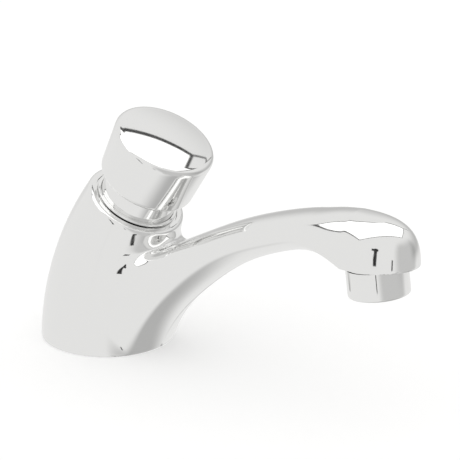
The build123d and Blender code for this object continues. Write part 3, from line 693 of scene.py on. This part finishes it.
# Painted shade, seen only by glossy rays: how much darker the reflected room is on the tap's right, at its
# back and under it.
right_shade, back_shade, low_shade = 0.3, 0.36, 0.43
right_shade_mask = times(ramp(east, 0.5, 0.8), ramp(times(high, -1), -0.8, -0.35))
back_shade_mask = times(ramp(times(high, -1), -0.72, -0.05), ramp(high, -0.3, 0.0))
back_shade_mask = times(back_shade_mask, ramp(north, 0.15, 0.85))
# below is painted shade: it stands in for the reflected floor lying in the tap's own shadow.
below = times(ramp(less(times(east, 2.2), north), -1.0, 0.4), ramp(times(high, -1), 0.5, 0.82))
below = times(below, ramp(north, -0.6, -0.15))
shade = times(less(1, times(right_shade_mask, right_shade)), less(1, times(back_shade_mask, back_shade)))
shade = times(shade, less(1, times(below, low_shade)))
painted_room_reflection = times(shade, room_level)


def painted_gap(middle, half_width, low, top):
    """1 inside a narrow upright gap painted dark into the reflections, in degrees of azimuth and height."""
    aside = size_of(less(azimuth_seen, middle))
    inside = ramp(times(aside, -1), -half_width - 0.3, -half_width + 0.3)
    return times(inside, times(ramp(height_seen, low, low + 1), ramp(times(height_seen, -1), -top, -top + 1)))


# Painted dark slits, seen only by glossy rays: they darken the reflections in these directions.
painted_gaps = [
    painted_gap(-1.0, 2.2, -15, 12),
    painted_gap(-2.0, 4.6, 6, 11),
    painted_gap(47, 5, -36.5, -32.8),
    painted_gap(30, 1.4, -18.5, -5),
]
painted_gap_shade = painted_gaps[0]
for gap in painted_gaps[1:]:
    painted_gap_shade = most(painted_gap_shade, gap)
# Painted dark reflections: a dark frame round the lamp highlight, and the rod.
rim_shadow = most(times(less(painted_panel_frame, painted_lamp_highlight), 0.92), times(painted_rod_reflection, 0.75))
painted_reflection = times(times(painted_room_reflection, less(1, painted_lamp_highlight)), times(less(1, rim_shadow), less(1, times(painted_gap_shade, 0.96))))
# The painted lamp highlight is added to the reflections only; it lights nothing.
painted_reflection = add(painted_reflection, times(painted_lamp_highlight, painted_highlight_level))

# Glossy rays see the painted reflection; every other ray sees plain even light.
paths = tree.nodes.new("ShaderNodeLightPath")
polished = paths.outputs["Is Glossy Ray"]
plain_light = add(times(paths.outputs["Is Camera Ray"], 0.15), 0.85)
strength = add(times(polished, painted_reflection), times(less(1, polished), plain_light))
background = tree.nodes["Background"]
background.inputs["Color"].default_value = (1, 0.998, 0.99, 1)
tree.links.new(strength, background.inputs["Strength"])

floor_reach = 3
floor_mesh = bpy.data.meshes.new("floor")
floor_corners = [(x * floor_reach, y * floor_reach, 0) for x, y in ((-1, -1), (1, -1), (1, 1), (-1, 1))]
floor_mesh.from_pydata(floor_corners, [], [(0, 1, 2, 3)])
floor = bpy.data.objects.new("floor", floor_mesh)
bpy.context.scene.collection.objects.link(floor)
floor.visible_glossy = False
floor_material = bpy.data.materials.new("floor_paper")
floor_material.use_nodes = True
tree = floor_material.node_tree
paper = tree.nodes["Principled BSDF"]
paper.inputs["Base Color"].default_value = (0.92, 0.92, 0.92, 1)
paper.inputs["Roughness"].default_value = 0.9
paper.inputs["Specular IOR Level"].default_value = 0
paper.inputs["Emission Color"].default_value = (1, 1, 1, 1)
paths = tree.nodes.new("ShaderNodeLightPath")
glow = sums(tree)[2](paths.outputs["Is Camera Ray"], 0.26)
tree.links.new(glow, paper.inputs["Emission Strength"])
floor.data.materials.append(floor_material)


# Camera
# A long lens nearly a metre away from the tap's side, a little above it and turned towards its
# tip, where the photograph was taken from.
azimuth, elevation, camera_reach = radians(37.32), radians(19.65), 0.95
aim = np.array([65.47, 0.0, 60.56]) * MM
away = np.array([sin(azimuth) * cos(elevation), -cos(azimuth) * cos(elevation), sin(elevation)])
camera_data = bpy.data.cameras.new("camera")
camera_data.lens = 183.78
camera_data.sensor_width = 36
camera = bpy.data.objects.new("camera", camera_data)
bpy.context.scene.collection.objects.link(camera)
camera.location = aim + away * camera_reach
camera.rotation_euler = (radians(90) - elevation, 0, azimuth)
bpy.context.scene.camera = camera
bpy.context.scene.view_settings.view_transform = "Standard"
